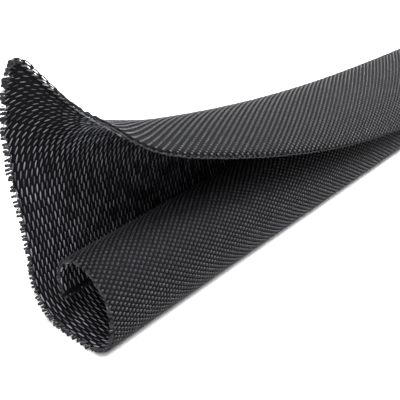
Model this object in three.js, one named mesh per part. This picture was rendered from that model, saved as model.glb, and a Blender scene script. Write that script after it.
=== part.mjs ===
import * as THREE from 'three';

// Woven wrap-around cable sleeve: one springy tape, heat-set into a roll that
// closes over itself and is opened by hand along its slit. The cut end lies
// spread open and the roll closes up again along its length.

// Sizes of the tape, in millimetres
const LENGTH = 150;             // along the line that the sleeve lies on
const WIDTH = 106.5;             // selvedge to selvedge, with the tape laid flat
const WALL = 0.9;               // thickness of the weave
const RIB_HEIGHT = 0.3;         // rise of the diagonal ribs outside
const BAND_HEIGHT = 0.16;       // rise of the weft bands inside
const LAYER_GAP = 0.42;         // clearance between the layers where they overlap

// Sizes of the closed roll
const BORE = 22.5;              // across the inside of the inner layer
const FLAT_WIDTH = 5;           // strip that the roll rests on
const FLAT_EASE = 1.2;          // stretch in which the bend comes back beside it

// Shape of the cut end: bend radii along the tape, each at its distance from
// the line that the roll rests on. The inner selvedge has the negative end, and
// a negative radius bows the tape the other way.
const REST_LINE = 44.7;         // inner selvedge to the middle of the resting strip
const TIP_BEND = { at: -41, radius: 8.8 };
const TOP_BEND = { at: -31, radius: 6.1 };
const BROW_BEND = { at: -21, radius: 11 };
const FRONT_BEND = { at: -10, radius: 7.7 };
const SIDE_RADIUS = 9;
const HEEL_BEND = { at: 9, radius: 6.95 };
const BACK_BEND = { at: 22, radius: -45 };
const FLAP_BEND = { at: 39, radius: 47 };
const LIP_BEND = { at: 56, radius: 15.9 };

// How far each region stays open along the sleeve
const ROLL_START = 3.4;
const ROLL_REACH = 143;
const BACK_REACH = 172;
const BACK_POWER = 2.2;
const FLAP_REACH = 4.7;
const FLAP_START = 22;
const FLAP_BLEND = 22;
const CUT_SLANT = 0.263;        // extra length of the flap for each millimetre across

// Grid of the wall
const ROWS = 40;
const ROLL_COLUMNS = 21;
const FLAT_COLUMNS = 2;
const FLAP_COLUMNS = 28;
const FINE_STATIONS = 90;       // stations used to measure the length of each warp end
const ARC_STEPS = 240;

// Selvedge and fray
const SELVEDGE_EDGE = 0.9;
const SELVEDGE_MESH = 1.7;
const GAP_ROWS = 26;
const GAP_SHARE = 0.5;
const FRAY_DEPTH = 1.1;

const clamp = (v, a, b) => Math.min(b, Math.max(a, v));
const ease = (v) => { const t = clamp(v, 0, 1); return t * t * (3 - 2 * t); };
const mix = (a, b, t) => a + (b - a) * t;

const LAYER_PITCH = WALL + RIB_HEIGHT / 2 + BAND_HEIGHT / 2 + LAYER_GAP;
const CUT_END_BENDS = [TIP_BEND, TOP_BEND, BROW_BEND, FRONT_BEND,
  { at: -FLAT_WIDTH / 2 - 1, radius: SIDE_RADIUS }, { at: FLAT_WIDTH / 2 + 1, radius: SIDE_RADIUS },
  HEEL_BEND, BACK_BEND, FLAP_BEND, LIP_BEND];

// Bend (one over radius) of the cut end at arc distance t from the rest line
function cutEndBend(t) {
  const knots = CUT_END_BENDS;
  if (t <= knots[0].at) return 1 / knots[0].radius;
  for (let i = 1; i < knots.length; i += 1) {
    if (t <= knots[i].at) {
      const share = ease((t - knots[i - 1].at) / (knots[i].at - knots[i - 1].at));
      return mix(1 / knots[i - 1].radius, 1 / knots[i].radius, share);
    }
  }
  return 1 / knots[knots.length - 1].radius;
}

// Bend of the closed roll: a spiral that grows by one layer each turn, bent a
// little tighter beside the strip it rests on, which keeps the layers apart
function closedBend(s, t) {
  const start = BORE / 2 + WALL / 2;
  const radius = start + LAYER_PITCH * s / (2 * Math.PI * start);
  const halfFlat = (FLAT_WIDTH + FLAT_EASE) / 2;
  const shoulder = halfFlat + Math.PI / 2 * (start - halfFlat);
  const beside = 1 - ease((Math.abs(t) - shoulder + 1.6) / 4);
  return 1 / (radius - halfFlat * beside);
}

function openShare(x, t) {
  const along = Math.max(0, x);
  const roll = 1 - ease((along - ROLL_START) / (ROLL_REACH - ROLL_START));
  const back = clamp(1 - along / BACK_REACH, 0, 1) ** BACK_POWER;
  const flap = Math.exp(-along / FLAP_REACH);
  const lifted = mix(back, flap, ease((t - FLAP_START) / FLAP_BLEND));
  return mix(roll, lifted, ease((t + 7) / 14));
}

// Section of the tape at station x: points with their direction, by arc length
function section(x) {
  const step = WIDTH / ARC_STEPS;
  const bend = (s) => {
    const t = s - REST_LINE;
    const round = clamp((Math.abs(t) - FLAT_WIDTH / 2) / FLAT_EASE, 0, 1);
    return round * mix(closedBend(s, t), cutEndBend(t), openShare(x, t));
  };
  const walk = (from, to) => {
    const count = Math.max(2, Math.ceil(Math.abs(to - from) / step));
    const ds = (to - from) / count;
    const points = [{ s: from, y: 0, z: 0, turn: 0 }];
    for (let i = 0; i < count; i += 1) {
      const last = points[i];
      const turn = last.turn + bend(last.s + ds / 2) * ds;
      const middle = (last.turn + turn) / 2;
      points.push({
        s: last.s + ds,
        y: last.y + Math.cos(middle) * ds,
        z: last.z + Math.sin(middle) * ds,
        turn,
      });
    }
    return points;
  };
  const inward = walk(REST_LINE, 0).reverse();
  const outward = walk(REST_LINE, WIDTH);
  return inward.concat(outward.slice(1));
}

function sampleSection(points, s) {
  let i = 1;
  while (i < points.length - 1 && points[i].s < s) i += 1;
  const a = points[i - 1];
  const b = points[i];
  const t = clamp((s - a.s) / (b.s - a.s), 0, 1);
  return { y: mix(a.y, b.y, t), z: mix(a.z, b.z, t), turn: mix(a.turn, b.turn, t) };
}

// Arc length of each grid column, with the resting strip between two columns of
// its own and the selvedge mesh in the last ones
function columnArcs() {
  const arcs = [];
  const split = (from, to, count) => {
    for (let i = 0; i < count; i += 1) arcs.push(mix(from, to, i / count));
  };
  split(0, REST_LINE - FLAT_WIDTH / 2, ROLL_COLUMNS);
  split(REST_LINE - FLAT_WIDTH / 2, REST_LINE + FLAT_WIDTH / 2, FLAT_COLUMNS);
  const meshStart = WIDTH - SELVEDGE_EDGE - SELVEDGE_MESH;
  split(REST_LINE + FLAT_WIDTH / 2, meshStart, FLAP_COLUMNS);
  arcs.push(meshStart, WIDTH - SELVEDGE_EDGE, WIDTH);
  return arcs;
}

// Grid of points of the wall's middle surface. Every warp end keeps its own
// length from the far end, so the opened flap draws back as a real tape does.
function middleSurface() {
  const stations = [];
  const arcs = columnArcs();
  for (let i = 0; i <= FINE_STATIONS; i += 1) {
    const x = LENGTH * i / FINE_STATIONS;
    const points = section(x);
    stations.push(arcs.map((s) => {
      const p = sampleSection(points, s);
      return { x, y: p.y, z: p.z + WALL / 2, turn: p.turn, s };
    }));
  }
  const grid = [];
  for (let row = 0; row <= ROWS; row += 1) grid.push([]);
  const columns = stations[0].length;
  for (let column = 0; column < columns; column += 1) {
    const line = stations.map((station) => station[column]);
    const toFar = line.map(() => 0);
    for (let i = FINE_STATIONS - 1; i >= 0; i -= 1) {
      const a = line[i];
      const b = line[i + 1];
      toFar[i] = toFar[i + 1] + Math.hypot(b.x - a.x, b.y - a.y, b.z - a.z);
    }
    const length = Math.min(toFar[0], LENGTH + CUT_SLANT * Math.max(0, line[0].s - REST_LINE));
    for (let row = 0; row <= ROWS; row += 1) {
      const left = length * (1 - row / ROWS);
      let i = FINE_STATIONS - 1;
      while (i > 0 && toFar[i] < left) i -= 1;
      const t = clamp((toFar[i] - left) / (toFar[i] - toFar[i + 1]), 0, 1);
      const a = line[i];
      const b = line[i + 1];
      grid[row].push(new THREE.Vector3(mix(a.x, b.x, t), mix(a.y, b.y, t), mix(a.z, b.z, t)));
      grid[row][column].turn = mix(a.turn, b.turn, t);
    }
  }
  return grid;
}

// Outward direction of the wall at a grid point
function outward(grid, row, column) {
  const across = new THREE.Vector3(0, Math.cos(grid[row][column].turn), Math.sin(grid[row][column].turn));
  const before = grid[Math.max(0, row - 1)][column];
  const after = grid[Math.min(ROWS, row + 1)][column];
  const along = new THREE.Vector3().subVectors(after, before);
  return new THREE.Vector3().crossVectors(across, along).normalize();
}

// Uneven, repeatable fraction for the cut yarns
const uneven = (n) => Math.abs(Math.sin(n * 12.9898 + 4.1) * 43758.5453) % 1;

function buildSleeve() {
  const grid = middleSurface();
  const columns = grid[0].length;
  const flatStart = ROLL_COLUMNS;
  const flatEnd = ROLL_COLUMNS + FLAT_COLUMNS;
  const positions = [];
  const indices = [];
  const addVertex = (v) => { positions.push(v.x, v.y, v.z); return positions.length / 3 - 1; };
  const quad = (a, b, c, d) => { indices.push(a, b, d, b, c, d); };

  const isPlain = (row, column) => row === 0 || row === ROWS || column === 0
    || column >= columns - 3 || (column >= flatStart && column <= flatEnd);
  const face = (row, column, side) => {
    const n = outward(grid, row, column);
    const high = side > 0 ? (row + column) % 2 : row % 2;
    const relief = side > 0 ? RIB_HEIGHT : BAND_HEIGHT;
    const rise = isPlain(row, column) ? 0 : (high - 0.5) * relief;
    const p = grid[row][column].clone().addScaledVector(n, side * (WALL / 2 + rise));
    const flatColumn = column >= flatStart && column <= flatEnd;
    if (row === 0) p.x -= FRAY_DEPTH * uneven(column) * (flatColumn ? 0.3 : 1);
    return p;
  };
  const outer = [];
  const inner = [];
  for (let row = 0; row <= ROWS; row += 1) {
    outer.push([]);
    inner.push([]);
    for (let column = 0; column < columns; column += 1) {
      outer[row].push(addVertex(face(row, column, 1)));
      inner[row].push(addVertex(face(row, column, -1)));
    }
  }
  const gapColumn = columns - 3;
  const isGap = (row, column) => column === gapColumn && row > 0 && row <= GAP_ROWS;
  const cornerOf = (sheet, row, column) => [
    sheet[row][column], sheet[row][column + 1], sheet[row + 1][column + 1], sheet[row + 1][column]];
  const inset = (corners) => {
    const at = (k) => new THREE.Vector3().fromArray(positions, corners[k] * 3);
    const centre = at(0).add(at(1)).add(at(2)).add(at(3)).multiplyScalar(0.25);
    return corners.map((corner, k) => addVertex(at(k).lerp(centre, 1 - GAP_SHARE)));
  };
  for (let row = 0; row < ROWS; row += 1) {
    for (let column = 0; column < columns - 1; column += 1) {
      const out = cornerOf(outer, row, column);
      const inn = cornerOf(inner, row, column);
      if (isGap(row, column)) {
        const outHole = inset(out);
        const innHole = inset(inn);
        for (let k = 0; k < 4; k += 1) {
          const m = (k + 1) % 4;
          quad(out[k], out[m], outHole[m], outHole[k]);
          quad(inn[m], inn[k], innHole[k], innHole[m]);
          quad(outHole[k], outHole[m], innHole[m], innHole[k]);
        }
      } else {
        quad(out[0], out[1], out[2], out[3]);
        quad(inn[3], inn[2], inn[1], inn[0]);
      }
    }
  }
  for (let row = 0; row < ROWS; row += 1) {
    const last = columns - 1;
    quad(outer[row + 1][0], inner[row + 1][0], inner[row][0], outer[row][0]);
    quad(outer[row][last], inner[row][last], inner[row + 1][last], outer[row + 1][last]);
  }
  for (let column = 0; column < columns - 1; column += 1) {
    quad(outer[0][column], inner[0][column], inner[0][column + 1], outer[0][column + 1]);
    quad(outer[ROWS][column + 1], inner[ROWS][column + 1], inner[ROWS][column], outer[ROWS][column]);
  }
  const geometry = new THREE.BufferGeometry();
  geometry.setAttribute('position', new THREE.Float32BufferAttribute(positions, 3));
  geometry.setIndex(indices);
  geometry.computeBoundingBox();
  const box = geometry.boundingBox;
  geometry.translate(-(box.min.x + box.max.x) / 2, -(box.min.y + box.max.y) / 2, -box.min.z);
  geometry.computeVertexNormals();
  return geometry;
}

const weave = new THREE.MeshStandardMaterial({ color: 0x26262a, roughness: 0.7, metalness: 0 });
const sleeve = new THREE.Mesh(buildSleeve(), weave);
sleeve.name = 'woven_wrap_sleeve';

const group = new THREE.Group();
group.name = 'cable_sleeve';
group.add(sleeve);

export default group;
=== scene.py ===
# %% [markdown]
# # A woven wrap-around cable sleeve
# The real thing is one springy tape. It is woven flat from black polyester, then heated while it is
# bent, so that it keeps the shape of a roll and closes over itself around a bundle of cables.
# This lesson follows the same order: each piece is made flat on the loom, and one function then
# curls all of them together. That way a yarn can't drift off the wall that it is woven into.

# %% Load the frame
import math
import bpy
import numpy as np
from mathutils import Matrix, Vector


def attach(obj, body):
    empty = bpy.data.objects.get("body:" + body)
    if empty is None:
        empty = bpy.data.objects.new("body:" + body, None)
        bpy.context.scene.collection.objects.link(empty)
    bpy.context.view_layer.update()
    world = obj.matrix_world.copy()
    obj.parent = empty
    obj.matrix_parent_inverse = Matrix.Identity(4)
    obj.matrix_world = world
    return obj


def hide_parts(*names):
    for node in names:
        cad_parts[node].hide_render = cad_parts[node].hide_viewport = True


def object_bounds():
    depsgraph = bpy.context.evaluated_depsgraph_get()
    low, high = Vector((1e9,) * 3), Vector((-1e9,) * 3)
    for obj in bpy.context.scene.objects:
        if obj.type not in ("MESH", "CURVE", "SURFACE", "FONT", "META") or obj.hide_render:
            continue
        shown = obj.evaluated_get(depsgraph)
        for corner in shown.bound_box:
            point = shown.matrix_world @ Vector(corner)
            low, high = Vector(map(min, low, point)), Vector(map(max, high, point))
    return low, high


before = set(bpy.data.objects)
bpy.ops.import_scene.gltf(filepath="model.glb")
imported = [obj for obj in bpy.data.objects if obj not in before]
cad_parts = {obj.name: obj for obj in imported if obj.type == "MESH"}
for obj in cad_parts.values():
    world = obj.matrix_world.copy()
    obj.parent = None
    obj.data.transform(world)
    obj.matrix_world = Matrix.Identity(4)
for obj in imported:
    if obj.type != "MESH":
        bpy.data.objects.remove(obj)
cad_low, cad_high = [np.array(corner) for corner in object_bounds()]
bpy.ops.object.select_all(action="DESELECT")
scene = bpy.context.scene
scene.view_settings.view_transform = "Standard"
print("Box of the frame, mm:", np.round((cad_high - cad_low) * 1000, 2))

# %% [markdown]
# ## The camera
# A camera could be placed by eye, but the picture has straight woven lines that meet far away, and
# they fix the lens and the tilt. So the camera's place, tilt and heading are written as numbers.

# %% Camera
CAMERA_PLACE = (-0.1264, -0.0759, 0.0815)
CAMERA_TILT = math.radians(60.114)
CAMERA_HEADING = math.radians(-48.59)
LENS = 57.42
SENSOR = 36

bpy.ops.object.camera_add(location=CAMERA_PLACE, rotation=(CAMERA_TILT, 0, CAMERA_HEADING))
camera = bpy.context.object
camera.data.lens = LENS
camera.data.sensor_width = SENSOR
camera.data.clip_start = 0.005
scene.camera = camera
print("Camera at", CAMERA_PLACE)

# %% [markdown]
# ## Sizes of the tape
# A weaver counts in ends, which run along the tape, and picks, which cross it. The rest are the
# sizes of the roll that the tape was heat-set to, and of the end that was cut and has sprung open.

# %% Sizes


def mm(value):
    return value / 1000


LENGTH = mm(150)
WIDTH = mm(106.5)
WALL = mm(0.9)
RIB_HEIGHT = mm(0.3)
BAND_HEIGHT = mm(0.16)
LAYER_GAP = mm(0.42)
BORE = mm(22.5)
FLAT_WIDTH = mm(5)
FLAT_EASE = mm(1.2)
REST_LINE = mm(44.7)
SIDE_RADIUS = mm(9)
CUT_SLANT = 0.263

END_PITCH = mm(0.49)
PICK_PITCH_AT_CUT = mm(0.74)
PICK_PITCH_FAR = mm(0.98)
SELVEDGE = mm(0.7)
OPEN_MESH_WIDTH = mm(1.6)
OPEN_MESH_LENGTH = mm(20)

# Bends of the cut end: distance from the resting line, and radius
CUT_END_BENDS = [
    (mm(-41), mm(8.8)), (mm(-31), mm(6.1)), (mm(-21), mm(11)), (mm(-10), mm(7.7)),
    (-FLAT_WIDTH / 2 - mm(1), SIDE_RADIUS), (FLAT_WIDTH / 2 + mm(1), SIDE_RADIUS),
    (mm(9), mm(6.95)), (mm(22), mm(-45)), (mm(39), mm(47)), (mm(56), mm(15.9)),
]

# The closed roll bends more tightly on both sides of the strip that it rests on
SHOULDER_LEAD = mm(1.6)
SHOULDER_EASE = mm(4)

# How far from the cut the open shape lasts: in the roll, behind it and in the flap
ROLL_OPEN_TO = mm(3.4)
ROLL_CLOSED_FROM = mm(143)
BACK_CLOSED_FROM = mm(172)
BACK_POWER = 2.2
FLAP_DECAY = mm(4.7)
FLAP_BLEND_FROM = mm(22)
FLAP_BLEND_WIDTH = mm(22)
REST_BLEND = mm(7)

# %% [markdown]
# ## Curling the flat tape
# A lattice or a bend modifier could curl a strip, but this roll opens along its length and its
# bend changes from place to place. A formula is exact: the bend at each station is mixed from the
# closed roll and the open cut end, and walking along the tape by that bend gives its section.

# %% The bend of the tape


def ease(value):
    share = np.clip(value, 0, 1)
    return share * share * (3 - 2 * share)


def mix(a, b, share):
    return a + (b - a) * share


def cut_end_bend(t):
    """Bend of the cut end, eased from each place in the list to the next."""
    places = np.array([place for place, radius in CUT_END_BENDS])
    bends = np.array([1 / radius for place, radius in CUT_END_BENDS])
    i = np.clip(np.searchsorted(places, t) - 1, 0, len(places) - 2)
    share = ease((t - places[i]) / (places[i + 1] - places[i]))
    return mix(bends[i], bends[i + 1], share)


def closed_bend(s, t):
    """Bend of the closed roll: a slow spiral, whose radius grows by one layer in each turn."""
    start = BORE / 2 + WALL / 2
    layer_pitch = WALL + RIB_HEIGHT / 2 + BAND_HEIGHT / 2 + LAYER_GAP
    radius = start + layer_pitch * s / (2 * math.pi * start)
    half_flat = (FLAT_WIDTH + FLAT_EASE) / 2
    shoulder = half_flat + math.pi / 2 * (start - half_flat)
    beside = 1 - ease((np.abs(t) - shoulder + SHOULDER_LEAD) / SHOULDER_EASE)
    return 1 / (radius - half_flat * beside)


def open_share(x, t):
    """How much of the cut end's bend is left at a distance x from the cut."""
    along = np.maximum(0, x)
    roll = 1 - ease((along - ROLL_OPEN_TO) / (ROLL_CLOSED_FROM - ROLL_OPEN_TO))
    back = np.clip(1 - along / BACK_CLOSED_FROM, 0, 1) ** BACK_POWER
    flap = np.exp(-along / FLAP_DECAY)
    lifted = mix(back, flap, ease((t - FLAP_BLEND_FROM) / FLAP_BLEND_WIDTH))
    return mix(roll, lifted, ease((t + REST_BLEND) / (2 * REST_BLEND)))


def bend(x, s):
    t = s - REST_LINE
    rounded = np.clip((np.abs(t) - FLAT_WIDTH / 2) / FLAT_EASE, 0, 1)
    return rounded * mix(closed_bend(s, t), cut_end_bend(t), open_share(x, t))


# %% [markdown]
# Walking across the tape at each station gives a table of its middle surface. A warp end keeps its
# length when the tape bends, so each point's distance from the far end is measured along its end.

# %% The table of the middle surface
STATION_STEP = mm(1)
ARC_STEP = mm(0.25)
WARP_STEP = mm(0.5)
OVERHANG = mm(8)
EDGE_ROOM = mm(2)
CUT_ROOM = mm(4)

before_rest = math.ceil((REST_LINE + EDGE_ROOM) / ARC_STEP)
after_rest = math.ceil((WIDTH - REST_LINE + EDGE_ROOM) / ARC_STEP)
arcs = REST_LINE + ARC_STEP * np.arange(-before_rest, after_rest + 1)
stations = np.arange(LENGTH, -OVERHANG - STATION_STEP / 2, -STATION_STEP)


def walk(values):
    """Running sums across the tape, counted from the resting line."""
    sums = np.concatenate([np.zeros((len(values), 1)), np.cumsum(values, axis=1)], axis=1)
    return sums - sums[:, before_rest:before_rest + 1]


middle_arcs = (arcs[:-1] + arcs[1:]) / 2
turn = walk(bend(stations[:, None], middle_arcs[None, :]) * ARC_STEP)
middle_turn = (turn[:, :-1] + turn[:, 1:]) / 2
section_y = walk(np.cos(middle_turn) * ARC_STEP)
section_z = walk(np.sin(middle_turn) * ARC_STEP) + WALL / 2
section_x = np.repeat(stations[:, None], len(arcs), axis=1)
sections = np.stack([section_x, section_y, section_z], axis=2)

steps = np.linalg.norm(np.diff(sections, axis=0), axis=2)
from_far = np.concatenate([np.zeros((1, len(arcs))), np.cumsum(steps, axis=0)])
reach = LENGTH + CUT_SLANT * (WIDTH - REST_LINE) + CUT_ROOM
warp = np.arange(0, reach, WARP_STEP)
surface = np.empty((len(warp), len(arcs), 3))
for column in range(len(arcs)):
    for axis in range(3):
        surface[:, column, axis] = np.interp(warp, from_far[:, column], sections[:, column, axis])

across = np.gradient(surface, axis=1)
along = -np.gradient(surface, axis=0)
outward = np.cross(across, along)
outward /= np.linalg.norm(outward, axis=2, keepdims=True)
print("Middle surface:", surface.shape[0], "by", surface.shape[1], "points")

# %% [markdown]
# A flat point is looked up in that table and moved out along the surface's normal by its height.
# The springy flap stands a little higher than the frame's wall, so it also gets a small lift.

# %% The curl itself
TIP_EXTRA = mm(0.5)
TIP_SPREAD = mm(10)
TIP_LIFT = mm(1.2)
TIP_REACH = mm(4.5)
FLAP_LIFT = mm(0.5)
LIFT_FROM_CUT = mm(10)
LIFT_EASE = mm(8)
LIFT_FADE = mm(45)
FLAP_FROM_REST = mm(25)
FLAP_EASE = mm(15)
CREST_LIFT = mm(0.45)
CREST_FROM_CUT = mm(19)
CREST_SPREAD = mm(5)

open_row = np.argmin(np.abs(stations))
open_length = from_far[open_row]


def cut_length(v):
    """How far the warp end at v reaches from the far end: to the cut, which runs at a slant."""
    slanted = LENGTH + CUT_SLANT * np.maximum(0, v - REST_LINE)
    corner = TIP_EXTRA * ease((v - WIDTH) / TIP_SPREAD + 1)
    return np.minimum(np.interp(v, arcs, open_length), slanted) + corner


def look_up(table, u, v):
    # Clipped just short of the last row and column, so that there is always a next one
    row = np.clip(u / WARP_STEP, 0, len(warp) - 1.001)
    column = np.clip((v - arcs[0]) / ARC_STEP, 0, len(arcs) - 1.001)
    i, j = row.astype(int), column.astype(int)
    a, b = (row - i)[:, None], (column - j)[:, None]
    near = mix(table[i, j], table[i, j + 1], b)
    far = mix(table[i + 1, j], table[i + 1, j + 1], b)
    return mix(near, far, a)


# The frame is centred on its box, and this finds the shift that puts the curl in the same place
skin = surface + outward * WALL / 2
shown = warp[:, None] <= cut_length(arcs)[None, :]
shown &= (arcs >= 0) & (arcs <= WIDTH)
skin_low, skin_high = skin[shown].min(axis=0), skin[shown].max(axis=0)
shift = (cad_low + cad_high) / 2 - (skin_low + skin_high) / 2
shift[0] = cad_high[0] - LENGTH
shift[2] = 0


def spring_lift(u, v):
    """How much higher the springy flap stands than the frame's wall, most of all at its crest."""
    from_cut = cut_length(v) - u
    crest = CREST_LIFT * np.exp(-((from_cut - CREST_FROM_CUT) / CREST_SPREAD) ** 2)
    rise = ease((from_cut - LIFT_FROM_CUT) / LIFT_EASE)
    fall = ease((LENGTH - from_cut) / LIFT_FADE)
    on_flap = ease((v - REST_LINE - FLAP_FROM_REST) / FLAP_EASE)
    corner = ease((v - WIDTH) / TIP_SPREAD + 1)
    tip = TIP_LIFT * np.exp(-(from_cut / TIP_REACH) ** 2) * corner
    return (FLAP_LIFT * rise * fall + crest) * on_flap + tip


def curl(flat):
    u, v, height = flat[:, 0], flat[:, 1], flat[:, 2]
    points = look_up(surface, u, v) + look_up(outward, u, v) * height[:, None] + shift
    points[:, 2] += spring_lift(u, v)
    return points


PITCH_CHANGE = (PICK_PITCH_FAR - PICK_PITCH_AT_CUT) / LENGTH


def pick_place(number):
    """Distance of a pick from the far end. The photo shows the picks closer near the cut."""
    return PICK_PITCH_FAR / PITCH_CHANGE * (1 - np.exp(-PITCH_CHANGE * number))


def pick_count(u):
    """The number of the pick at a distance from the far end, the other way round."""
    return -np.log(1 - u * PITCH_CHANGE / PICK_PITCH_FAR) / PITCH_CHANGE


print("Shift into the frame, mm:", np.round(shift * 1000, 3))

# %% [markdown]
# ## Helpers for flat weaving
# Flat, x is the distance from the far end, y the distance from the inner selvedge, and z rises
# towards the outer face. `repeat` copies one modelled knuckle or loop to many places, because a
# weave has thousands of them, and gives each copy its own tone. `finish_piece` keeps the flat x
# and y as the piece's UV map, in millimetres, so patterns follow the yarns, and then curls the
# piece into place. Chance is seeded, so each run gives the same yarns.

# %% Helpers


def chance(number, seed):
    return np.random.default_rng(seed).random(number)


def between(low, high, number, seed):
    return mix(low, high, chance(number, seed))


def points_of(piece):
    flat = np.empty(len(piece.data.vertices) * 3)
    piece.data.vertices.foreach_get("co", flat)
    return flat.reshape(-1, 3)


def set_points(piece, points):
    piece.data.vertices.foreach_set("co", np.ascontiguousarray(points).ravel())
    piece.data.update()


def repeat(piece, name, places, turns=None, sizes=None):
    """Copy a small modelled piece to many places of the flat tape, as one mesh."""
    base = points_of(piece)
    mesh = piece.data
    corners = np.empty(len(mesh.loops), dtype=np.int64)
    mesh.loops.foreach_get("vertex_index", corners)
    counts = np.empty(len(mesh.polygons), dtype=np.int64)
    mesh.polygons.foreach_get("loop_total", counts)
    number = len(places)
    points = np.repeat(base[None], number, axis=0)
    if sizes is not None:
        points = points * sizes[:, None, :]
    if turns is not None:
        c, s = np.cos(turns)[:, None], np.sin(turns)[:, None]
        x, y = points[:, :, 0].copy(), points[:, :, 1].copy()
        points[:, :, 0] = x * c - y * s
        points[:, :, 1] = x * s + y * c
    points = (points + places[:, None, :]).reshape(-1, 3)
    offsets = np.arange(number)[:, None] * len(base)
    all_corners = (corners[None] + offsets).ravel()
    all_counts = np.tile(counts, number)
    copies = bpy.data.meshes.new(name)
    copies.vertices.add(len(points))
    copies.vertices.foreach_set("co", points.ravel())
    copies.loops.add(len(all_corners))
    copies.loops.foreach_set("vertex_index", all_corners)
    copies.polygons.add(len(all_counts))
    starts = np.concatenate([[0], np.cumsum(all_counts)[:-1]])
    copies.polygons.foreach_set("loop_start", starts)
    copies.update(calc_edges=True)
    tone = copies.attributes.new("tone", "FLOAT", "POINT")
    tone.data.foreach_set("value", np.repeat(chance(number, len(base)), len(base)))
    made = bpy.data.objects.new(name, copies)
    bpy.context.collection.objects.link(made)
    bpy.data.objects.remove(piece)
    return made


def finish_piece(piece, material):
    flat = points_of(piece)
    mesh = piece.data
    corners = np.empty(len(mesh.loops), dtype=np.int64)
    mesh.loops.foreach_get("vertex_index", corners)
    while mesh.uv_layers:
        mesh.uv_layers.remove(mesh.uv_layers[0])
    tape_map = mesh.uv_layers.new(name="tape")
    tape_map.data.foreach_set("uv", (flat[corners, :2] / mm(1)).ravel())
    set_points(piece, curl(flat))
    mesh.polygons.foreach_set("use_smooth", np.ones(len(mesh.polygons), dtype=bool))
    mesh.materials.clear()
    mesh.materials.append(material)
    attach(piece, "root")
    triangles = sum(len(face.vertices) - 2 for face in mesh.polygons)
    print(piece.name, triangles, "triangles")
    return piece


# %% [markdown]
# ## Materials
# Both yarns are black polyester, so the eye tells them apart by gloss alone. The warp is a bundle
# of fine fibres, which scatters light and looks soft. The weft is a single thick monofilament,
# drawn smooth, so it catches small sharp lights. The warp's colour is nearly black: most of the
# grey that one sees is the white room, mirrored in thousands of little knuckles. The weft is
# painted a lighter grey, as painted sheen on its floats, and the wall between the knuckles is
# painted darker, as painted shade.

# %% Material helpers


def linear(hex_colour):
    channels = [int(hex_colour[i:i + 2], 16) / 255 for i in (1, 3, 5)]
    return [c / 12.92 if c <= 0.04045 else ((c + 0.055) / 1.055) ** 2.4 for c in channels] + [1]


def add_node(material, kind, settings=None, values=None, links=None):
    node = material.node_tree.nodes.new(kind)
    for key, value in (settings or {}).items():
        setattr(node, key, value)
    for key, value in (values or {}).items():
        node.inputs[key].default_value = value
    for key, source in (links or {}).items():
        material.node_tree.links.new(source, node.inputs[key])
    return node


def new_material(name):
    material = bpy.data.materials.new(name)
    material.use_nodes = True
    material.node_tree.nodes.clear()
    return material


def set_surface(material, shader):
    output = add_node(material, "ShaderNodeOutputMaterial")
    material.node_tree.links.new(shader.outputs[0], output.inputs["Surface"])


# %% Warp yarn, polyester multifilament
# Fibres lie along the yarn. Real ones are 0.02 mm thick and would not show, so they are drawn
# five times as coarse.
FIBRE_GRAIN = (mm(1) / mm(2), mm(1) / mm(0.1), 1)


def make_warp(name, dark, light, roughness, ior):
    """Soft grey-black: many fine fibres, so a broad dim gloss and yarns of uneven tone."""
    material = new_material(name)
    tone = add_node(material, "ShaderNodeAttribute", {"attribute_name": "tone"})
    # Sockets 0, 6 and 7 of a colour Mix node are its factor and its two colours
    colour = add_node(material, "ShaderNodeMix", {"data_type": "RGBA"},
                      {6: dark, 7: light}, {0: tone.outputs["Fac"]})
    tape = add_node(material, "ShaderNodeUVMap", {"uv_map": "tape"})
    fibres = add_node(material, "ShaderNodeMapping", None, {"Scale": FIBRE_GRAIN},
                      {"Vector": tape.outputs["UV"]})
    grain = add_node(material, "ShaderNodeTexNoise", {"noise_dimensions": "2D"},
                     {"Scale": 1, "Detail": 1, "Roughness": 0.5}, {"Vector": fibres.outputs[0]})
    bump = add_node(material, "ShaderNodeBump", None, {"Strength": 0.35, "Distance": mm(0.05)},
                    {"Height": grain.outputs[0]})
    yarn = add_node(material, "ShaderNodeBsdfPrincipled", None,
                    {"Roughness": roughness, "IOR": ior},
                    {"Base Color": colour.outputs[2], "Normal": bump.outputs[0]})
    set_surface(material, yarn)
    return material


warp_yarn = make_warp("warp_polyester_multifilament", linear("#0d0c10"), linear("#26242b"),
                      roughness=0.33, ior=1.55)
# Between the knuckles light is lost in the depth of the weave: the wall's darker colour is painted
# shade, and it mirrors next to nothing
wall_yarn_painted_shade = make_warp("yarn_between_knuckles_painted_shade", linear("#0b0b0d"), linear("#131316"),
                      roughness=0.85, ior=1.25)
# The binder at the edges is a thin dull yarn, darker than the weave that it holds
selvedge_yarn = make_warp("selvedge_binder_multifilament", linear("#08080a"), linear("#121214"),
                          roughness=0.6, ior=1.4)

# %% Weft yarn, drawn polyester monofilament
# Both greys are lighter than the black yarn: painted sheen on the floats. Each float's tone between
# them is picked at random.
WEFT_DARK_PAINTED_SHEEN = linear("#34343a")
WEFT_LIGHT_PAINTED_SHEEN = linear("#92929c")


def make_weft():
    """Smooth and glossy: one thick drawn filament, with small bright lights on each bend. Its grey
    base colour, lighter than black polyester, is painted sheen.
    """
    material = new_material("weft_monofilament_painted_sheen")
    tone = add_node(material, "ShaderNodeAttribute", {"attribute_name": "tone"})
    colour = add_node(material, "ShaderNodeMix", {"data_type": "RGBA"},
                      {6: WEFT_DARK_PAINTED_SHEEN, 7: WEFT_LIGHT_PAINTED_SHEEN}, {0: tone.outputs["Fac"]})
    yarn = add_node(material, "ShaderNodeBsdfPrincipled", None, {"Roughness": 0.22, "IOR": 1.6},
                    {"Base Color": colour.outputs[2]})
    set_surface(material, yarn)
    return material


weft_yarn_painted_sheen = make_weft()

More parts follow.
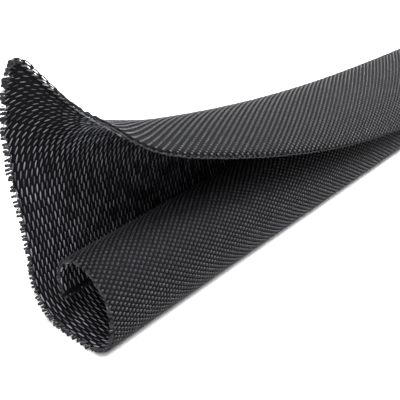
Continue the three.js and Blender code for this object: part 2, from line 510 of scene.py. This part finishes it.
# %% [markdown]
# ## The wall
# The wall is what holds the yarns together: one closed sheet, a little thinner than the finished
# fabric. It starts as a grid with one point for each pick and each pair of ends, is trimmed along
# the slanted cut, and gets its thickness from a Solidify modifier. Then every second point is
# lifted on the outside and every second pick on the inside, as the loom does.

# %% Woven wall
CORE = mm(0.74)
OUTER_LIFT = mm(0.07)
INNER_LIFT = mm(0.04)
UNEVEN_CUT = mm(0.2)
REST_STRIP_EASE = mm(2)

longest = float(cut_length(np.array([WIDTH - SELVEDGE]))[0])
picks = math.ceil(pick_count(longest))
end_pairs = round((WIDTH - 2 * SELVEDGE) / END_PITCH / 2)
ends = end_pairs * 2
end_pitch = (WIDTH - 2 * SELVEDGE) / ends


def pair_of(v):
    return np.round((v - SELVEDGE) / end_pitch / 2).astype(int)


bpy.ops.mesh.primitive_grid_add(x_subdivisions=picks, y_subdivisions=end_pairs, size=1)
wall = bpy.context.object
wall.name = "woven_wall"
flat = points_of(wall)
flat[:, 0] = pick_place((flat[:, 0] + 0.5) * picks)
flat[:, 1] = (flat[:, 1] + 0.5) * ends * end_pitch + SELVEDGE
set_points(wall, flat)

# Near the cut the last ends have slipped out of the selvedge, and only its open mesh is left
open_mesh = (flat[:, 1] > WIDTH - OPEN_MESH_WIDTH)
open_mesh &= cut_length(flat[:, 1]) - flat[:, 0] < OPEN_MESH_LENGTH

# Each pair of ends is cut at its own, slightly uneven length
uneven_cut = chance(end_pairs + 1, 3) * UNEVEN_CUT
beyond = flat[:, 0] > cut_length(flat[:, 1]) - uneven_cut[pair_of(flat[:, 1])]
bpy.ops.object.mode_set(mode="EDIT")
bpy.ops.mesh.select_all(action="DESELECT")
bpy.ops.object.mode_set(mode="OBJECT")
wall.data.vertices.foreach_set("select", beyond | open_mesh)
bpy.ops.object.mode_set(mode="EDIT")
bpy.ops.mesh.select_mode(type="VERT")
bpy.ops.mesh.delete(type="VERT")
bpy.ops.mesh.select_all(action="SELECT")
bpy.ops.mesh.delete_loose()
bpy.ops.object.mode_set(mode="OBJECT")

thickness = wall.modifiers.new("thickness", "SOLIDIFY")
thickness.thickness = CORE
thickness.offset = 0
bpy.ops.object.modifier_apply(modifier=thickness.name)
print("Picks", picks, "ends", ends, "points", len(wall.data.vertices))


def flatness(v):
    """Nearly nothing on the strip that the roll has rested on, one elsewhere."""
    return ease((np.abs(v - REST_LINE) - FLAT_WIDTH / 2) / REST_STRIP_EASE)


flat = points_of(wall)
pick_number = np.round(pick_count(flat[:, 0])).astype(int)
outside = flat[:, 2] > 0
up_or_down = (pick_number + pair_of(flat[:, 1])) % 2 * 2 - 1
outer_rise = up_or_down * OUTER_LIFT * flatness(flat[:, 1])
inner_rise = -(pick_number % 2 * 2 - 1) * INNER_LIFT
flat[:, 2] += np.where(outside, outer_rise, inner_rise)
set_points(wall, flat)
# The wall gets the darker yarn: painted shade for the gaps between the knuckles
finish_piece(wall, wall_yarn_painted_shade)
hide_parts("woven_wrap_sleeve")

# %% [markdown]
# ## Warp knuckles outside
# Where a warp end passes over a pick it bulges into a knuckle, and the knuckles of neighbouring
# ends are one pick apart, so that they line up in diagonal ribs. One knuckle is modelled from a
# small icosphere, drawn out along the end, and copied to every second crossing. The knuckles lean
# a little, as in the photo, and on the resting strip they are pressed into the wall.

# %% Outer knuckles
KNUCKLE_LENGTH = mm(0.86)
KNUCKLE_WIDTH = mm(0.52)
KNUCKLE_HEIGHT = mm(0.36)
KNUCKLE_RISE = mm(0.07)
KNUCKLE_LEAN = math.radians(26)
KNUCKLE_UNEVEN = math.radians(16)
KNUCKLE_FROM_CUT = mm(0.3)
REST_SINK = mm(0.2)


def crossings(pick_from, pick_to, end_from, end_to):
    pick, end = np.meshgrid(np.arange(pick_from, pick_to), np.arange(end_from, end_to),
                            indexing="ij")
    return pick.ravel(), end.ravel()


def make_knuckles(name, end_from, end_to, seed):
    pick, end = crossings(1, picks, end_from, end_to)
    u, v = pick_place(pick), SELVEDGE + end * end_pitch
    keep = ((pick + end) % 2 == 1) & (u < cut_length(v) - KNUCKLE_FROM_CUT)
    keep &= (v < WIDTH - OPEN_MESH_WIDTH) | (cut_length(v) - u > OPEN_MESH_LENGTH)
    u, v = u[keep], v[keep]
    number = len(u)
    bpy.ops.mesh.primitive_ico_sphere_add(subdivisions=1, radius=0.5)
    knuckle = bpy.context.object
    bpy.ops.transform.resize(value=(KNUCKLE_LENGTH, KNUCKLE_WIDTH, KNUCKLE_HEIGHT))
    bpy.ops.object.transform_apply(location=False, rotation=False, scale=True)
    height = CORE / 2 + KNUCKLE_RISE - REST_SINK * (1 - flatness(v))
    places = np.stack([u, v, height], axis=1)
    sizes = np.stack([between(0.9, 1.1, number, seed),
                      between(0.9, 1.1, number, seed + 1),
                      between(0.8, 1.1, number, seed + 2)], axis=1)
    turns = KNUCKLE_LEAN + KNUCKLE_UNEVEN * (chance(number, seed + 3) - 0.5)
    return finish_piece(repeat(knuckle, name, places, turns, sizes), warp_yarn)


third = ends // 3
roll_knuckles = make_knuckles("warp_knuckles_of_roll", 0, third, 11)
back_knuckles = make_knuckles("warp_knuckles_of_back", third, third * 2, 16)
flap_knuckles = make_knuckles("warp_knuckles_of_flap", third * 2, ends + 1, 21)

# %% [markdown]
# ## Weft floats inside
# Inside, the monofilament passes over four ends and under the next three, and each pick is shifted
# by half of that against the last. Each float is an icosphere drawn out across the tape, so it
# thins towards both tips, where the filament dives under an end. The photo shows three such floats
# inside for every two picks outside, and close to the flap's selvedge the weft is drawn tight, so
# the floats there are shorter and sink in.

# %% Inner floats
FLOAT_LENGTH = mm(2.2)
FLOAT_WIDTH = mm(0.28)
FLOAT_HEIGHT = mm(0.42)
FLOAT_ENDS = 7
FLOATS_PER_PICK = 1.5
FLOAT_RISE = mm(0.04)
FLOAT_FROM_CUT = mm(0.2)
FLOAT_UNEVEN = math.radians(5)
TIGHT_EDGE = mm(26)
TIGHT_SINK = mm(0.16)
TIGHT_SHARE = 0.55


def make_floats():
    pick, step = crossings(0, int(picks * FLOATS_PER_PICK), 0, ends // FLOAT_ENDS + 1)
    u = pick_place((pick + 0.5) / FLOATS_PER_PICK)
    v = SELVEDGE + (step + pick % 2 / 2) * FLOAT_ENDS * end_pitch
    keep = (u < cut_length(v) - FLOAT_FROM_CUT) & (v > SELVEDGE) & (v < WIDTH - SELVEDGE)
    u, v = u[keep], v[keep]
    number = len(u)
    bpy.ops.mesh.primitive_ico_sphere_add(subdivisions=1, radius=0.5)
    weft_float = bpy.context.object
    bpy.ops.transform.resize(value=(FLOAT_WIDTH, FLOAT_LENGTH, FLOAT_HEIGHT))
    bpy.ops.object.transform_apply(location=False, rotation=False, scale=True)
    tight = ease((v - WIDTH) / TIGHT_EDGE + 1)
    height = TIGHT_SINK * tight - CORE / 2 - FLOAT_RISE
    places = np.stack([u, v, height], axis=1)
    sizes = np.stack([between(0.9, 1.1, number, 31), between(0.94, 1.06, number, 32),
                      between(0.85, 1.15, number, 33)], axis=1)
    sizes[:, 1] *= mix(1, TIGHT_SHARE, tight)
    turns = FLOAT_UNEVEN * (chance(number, 34) - 0.5)
    # The floats get the weft's painted sheen
    return finish_piece(repeat(weft_float, "weft_floats_inside", places, turns, sizes), weft_yarn_painted_sheen)


inner_floats = make_floats()

# %% [markdown]
# ## Selvedges
# At both edges of the tape a binder yarn holds the picks in open loops, two rows deep, and near the
# cut light shows through them. One loop is a small torus drawn out along the edge and copied.

# %% Selvedge loops
LOOP_LENGTH = PICK_PITCH_AT_CUT * 2
LOOP_WIDTH = mm(0.66)
LOOP_WIRE = mm(0.11)
LOOP_ROWS = np.array([0.5, 1.4]) * LOOP_WIDTH
LOOP_PAST_CUT = mm(0.2)
LOOP_UNEVEN = mm(0.2)
LOOP_SWING = math.radians(14)


def make_loops(name, rows, seed):
    number_along = math.floor(longest / LOOP_LENGTH)
    u, v = [], []
    for row, place in enumerate(rows):
        along_edge = (np.arange(number_along) + 0.5 + row % 2 / 2) * LOOP_LENGTH
        inside = along_edge < cut_length(np.full(number_along, place)) + LOOP_PAST_CUT
        u.append(along_edge[inside])
        v.append(np.full(inside.sum(), place))
    u, v = np.concatenate(u), np.concatenate(v)
    number = len(u)
    bpy.ops.mesh.primitive_torus_add(major_segments=10, minor_segments=5, major_radius=0.5,
                                     minor_radius=LOOP_WIRE / LOOP_WIDTH)
    loop = bpy.context.object
    bpy.ops.transform.resize(value=(LOOP_LENGTH, LOOP_WIDTH, LOOP_WIDTH))
    bpy.ops.object.transform_apply(location=False, rotation=False, scale=True)
    places = np.stack([u, v, LOOP_UNEVEN * (chance(number, seed) - 0.5)], axis=1)
    turns = LOOP_SWING * (chance(number, seed + 1) - 0.5)
    return finish_piece(repeat(loop, name, places, turns), selvedge_yarn)


flap_selvedge = make_loops("selvedge_loops_of_flap", WIDTH - LOOP_ROWS, 41)
roll_selvedge = make_loops("selvedge_loops_of_roll", LOOP_ROWS, 51)

# %% [markdown]
# ## The frayed cut
# The sleeve was cut with a knife, so the warp stands out in short blunt tufts, about two for every
# three ends, and finer fibres lean between them. One tuft is a short cylinder, bent and a little
# tapered. Where the roll curls in at its mouth the cut is clean, so the tufts are almost nothing
# there.

# %% Cut tufts
TUFT_LENGTH = mm(1.9)
TUFT_PITCH = mm(0.78)
TUFT_THICKNESS = mm(0.7)
FIBRE_PITCH = mm(0.3)
FIBRE_THICKNESS = mm(0.14)
ROOT_DEPTH = mm(1.3)
CLEAN_CUT_FROM_REST = mm(14)
CLEAN_CUT_EASE = mm(8)
CLEAN_LENGTH = 0.58
TAPER = 0.85
CURVE = mm(0.15)
PLACE_UNEVEN = 0.6
SPLAY = math.radians(22)


def make_cut_yarns(name, pitch, thickness, sides, seed):
    bpy.ops.mesh.primitive_cylinder_add(vertices=sides, radius=thickness / 2, depth=TUFT_LENGTH)
    yarn = bpy.context.object
    bpy.ops.transform.rotate(value=math.pi / 2, orient_axis="Y", center_override=(0, 0, 0))
    bpy.ops.object.transform_apply(location=False, rotation=True, scale=False)
    bpy.ops.object.mode_set(mode="EDIT")
    bpy.ops.mesh.select_all(action="SELECT")
    bpy.ops.mesh.subdivide(number_cuts=1)
    bpy.ops.object.mode_set(mode="OBJECT")
    shape = points_of(yarn)
    share = shape[:, 0] / TUFT_LENGTH + 0.5
    taper = mix(1, TAPER, share)
    shape[:, 1] = shape[:, 1] * taper + CURVE * share ** 2
    shape[:, 2] = shape[:, 2] * taper
    shape[:, 0] = share * TUFT_LENGTH
    set_points(yarn, shape)
    number = int((WIDTH - SELVEDGE) / pitch)
    v = SELVEDGE / 2 + (np.arange(number) + PLACE_UNEVEN * (chance(number, seed) - 0.5)) * pitch
    u = cut_length(v) - ROOT_DEPTH
    height = (CORE - thickness) * (chance(number, seed + 1) - 0.5)
    clean = ease((REST_LINE - CLEAN_CUT_FROM_REST - v) / CLEAN_CUT_EASE)
    lengths = mix(between(0.84, 1.06, number, seed + 2), CLEAN_LENGTH, clean)
    bend = 2 * chance(number, seed + 3) - 1
    # Half of the yarns bend the other way: turned over on both axes, so faces still look outward
    side = np.where(bend < 0, -1, 1)
    sizes = np.stack([lengths, side * mix(0.8, 1, np.abs(bend)), side], axis=1)
    turns = SPLAY * (chance(number, seed + 4) - 0.5)
    places = np.stack([u, v, height], axis=1)
    return finish_piece(repeat(yarn, name, places, turns, sizes), warp_yarn)


tufts = make_cut_yarns("cut_tufts", TUFT_PITCH, TUFT_THICKNESS, 6, 61)
fray = make_cut_yarns("cut_fibres", FIBRE_PITCH, FIBRE_THICKNESS, 4, 71)

# %% [markdown]
# The tape's flat size is its width between the selvedges and the length of its longest end. The
# cut runs at a slant, so its true area is a little less than that rectangle.

# %% [markdown]
# ## Floor and light
# The sleeve lies on white card in an even white light, as in a light tent. The card is overexposed
# for the camera alone, so only the darkest part of the shadow shows, close under the roll.

# %% Floor
FLOOR_SIZE = 3
CARD_FOR_CAMERA = (1.08, 1.08, 1.08, 1)
CARD_FOR_LIGHT = (0.35, 0.35, 0.35, 1)
bpy.ops.mesh.primitive_plane_add(size=FLOOR_SIZE, location=(0, 0, 0))
floor = bpy.context.object
floor.name = "floor"
card = new_material("white_card")
seen = add_node(card, "ShaderNodeBsdfDiffuse", None, {"Color": CARD_FOR_CAMERA})
plain = add_node(card, "ShaderNodeBsdfDiffuse", None, {"Color": CARD_FOR_LIGHT})
path = add_node(card, "ShaderNodeLightPath")
card_mix = add_node(card, "ShaderNodeMixShader", None, None,
                    {0: path.outputs["Is Camera Ray"], 1: plain.outputs[0], 2: seen.outputs[0]})
set_surface(card, card_mix)
floor.data.materials.append(card)

# %% [markdown]
# The tent is white all round. The camera sees it at full strength and the sleeve is lit by a little
# less. Four softboxes add the sheen along the roll, the flap and the inner floats.

# %% World and lamps
TENT_LEVEL = 0.8
world = bpy.data.worlds.new("white_tent")
world.use_nodes = True
scene.world = world
background = world.node_tree.nodes["Background"]
background.inputs["Color"].default_value = (1, 1, 1, 1)
world_path = world.node_tree.nodes.new("ShaderNodeLightPath")
world_level = world.node_tree.nodes.new("ShaderNodeMapRange")
world_level.inputs["To Min"].default_value = TENT_LEVEL
world_level.inputs["To Max"].default_value = 1
world.node_tree.links.new(world_path.outputs["Is Camera Ray"], world_level.inputs["Value"])
world.node_tree.links.new(world_level.outputs[0], background.inputs["Strength"])


def add_lamp(name, place, target, size, power):
    bpy.ops.object.light_add(type="AREA", location=place)
    lamp = bpy.context.object
    lamp.name = name
    lamp.data.size = size
    lamp.data.energy = power
    away = np.array(target) - np.array(place)
    lamp.rotation_euler = (math.atan2(math.hypot(away[0], away[1]), -away[2]), 0,
                           math.atan2(away[1], away[0]) - math.pi / 2)
    return lamp


add_lamp("overhead_softbox", place=(0.15, 0.25, 0.6), target=(0, 0, 0.02), size=0.35, power=1.6)
add_lamp("softbox_at_the_right", place=(0.36, -0.24, 0.42), target=(0, 0, 0.02), size=0.16, power=5)
add_lamp("softbox_in_front", place=(-0.2, -0.3, 0.6), target=(-0.05, 0, 0.02), size=0.3, power=4.5)
add_lamp("softbox_past_the_far_end", place=(0.54, 0, 0.26), target=(0, 0, 0.03), size=0.12,
         power=1.5)
